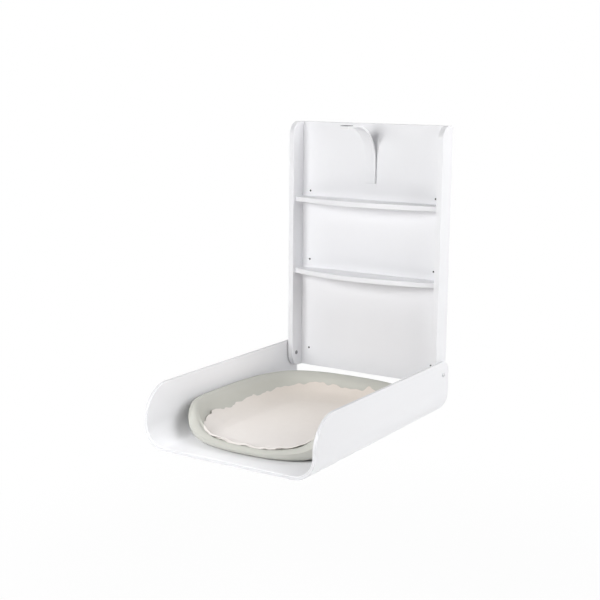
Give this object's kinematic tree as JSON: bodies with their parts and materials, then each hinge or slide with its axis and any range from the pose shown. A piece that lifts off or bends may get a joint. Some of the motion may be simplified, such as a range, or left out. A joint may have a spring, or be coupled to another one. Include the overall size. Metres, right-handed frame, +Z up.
{
  "type": "changing table",
  "caption": "Wall-hung changing table: shallow shelf cabinet with a bent veneer tray and moulded mat that folds down on side pivots and shuts up under a spring tongue.",
  "frame": {"origin": "centre of the four outer wall screw holes, on the wall plane", "axes": "+X to the right seen from the room, +Y into the wall, +Z up"},
  "size_m": [0.6288, 0.866, 0.979],
  "materials": {
    "white_lacquer": "satin white lacquer on veneer",
    "beech": "raw turned beech",
    "nylon": "matte",
    "steel": "satin zinc plated",
    "dark_steel": "blackened",
    "dark_rubber": "matte",
    "white_rubber": "matte",
    "mat_foam": "matte moulded foam with a closed skin",
    "liner_cloth": "soft cream cloth"
  },
  "bodies": {
    "cabinet": {"back_panel": "white_lacquer", "left_side_panel": "white_lacquer", "right_side_panel": "white_lacquer", "upper_shelf": "white_lacquer", "lower_shelf": "white_lacquer", "upper_shelf_dowels": "beech", "lower_shelf_dowels": "beech", "back_panel_dowels": "beech", "latch_leg": "white_lacquer", "latch_spacer": "nylon", "latch_screws": "steel", "left_pivot_sleeve": "dark_steel", "right_pivot_sleeve": "dark_steel", "left_pivot_screw": "steel", "right_pivot_screw": "steel", "left_pivot_washer": "nylon", "right_pivot_washer": "nylon"},
    "tray": {"tray_shell": "white_lacquer", "wall_buffers": "dark_rubber", "left_tray_bush": "nylon", "right_tray_bush": "nylon", "changing_mat": "mat_foam", "mat_liner": "liner_cloth"},
    "latch": {"latch_tongue": "white_lacquer", "latch_stop": "white_rubber", "latch_grip": "dark_rubber"}
  },
  "joints": [
    {"name": "tray_fold", "type": "hinge", "parent": "cabinet", "child": "tray", "pos_m": [0, -0.046, -0.302], "axis": [-1, 0, 0], "range_deg": [0, 90]},
    {"name": "latch_flex", "type": "hinge", "parent": "cabinet", "child": "latch", "pos_m": [0, -0.015, 0.395], "axis": [-1, 0, 0], "range_deg": [0, 3.5], "stiffness_Nm_per_rad": 20}
  ]
}
